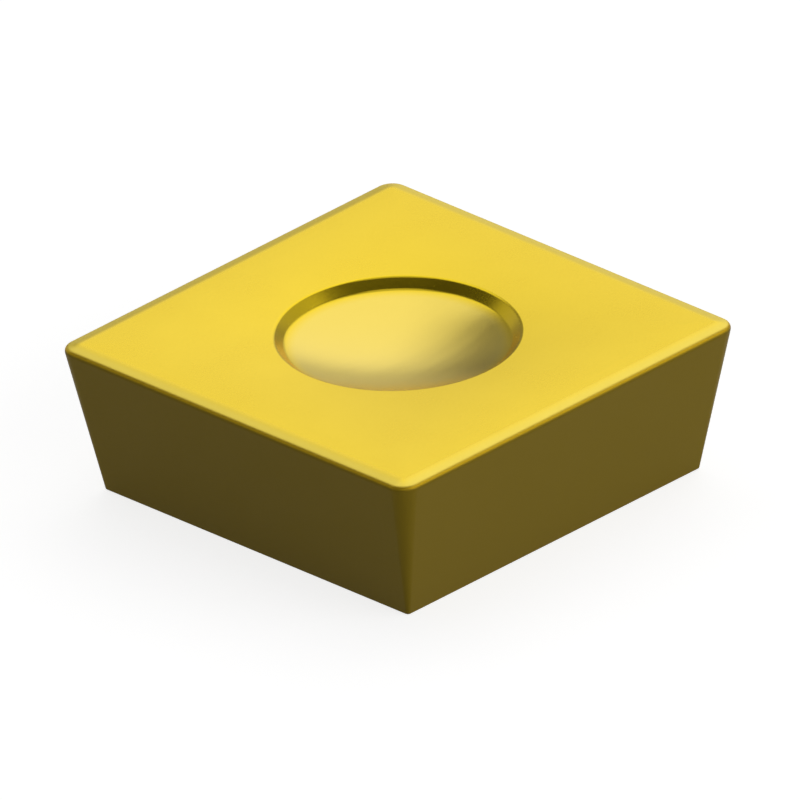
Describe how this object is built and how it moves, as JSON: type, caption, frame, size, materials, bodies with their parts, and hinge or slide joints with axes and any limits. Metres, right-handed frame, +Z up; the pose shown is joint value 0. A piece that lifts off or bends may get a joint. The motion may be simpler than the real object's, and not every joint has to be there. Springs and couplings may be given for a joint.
{
  "type": "carbide insert",
  "caption": "Square indexable cutting insert with leaning flanks, rounded noses, honed edge lands and a shallow round clamping dimple in its top.",
  "frame": {"origin": "centre of the flat seat underneath", "axes": "+Z up through the middle of the dimple; X and Y square to the flanks, along the cutting edges"},
  "size_m": [0.0096, 0.0096, 0.0032],
  "materials": {
    "coated_carbide": "satin"
  },
  "bodies": {
    "root": {"carbide_insert": "coated_carbide"}
  },
  "joints": []
}
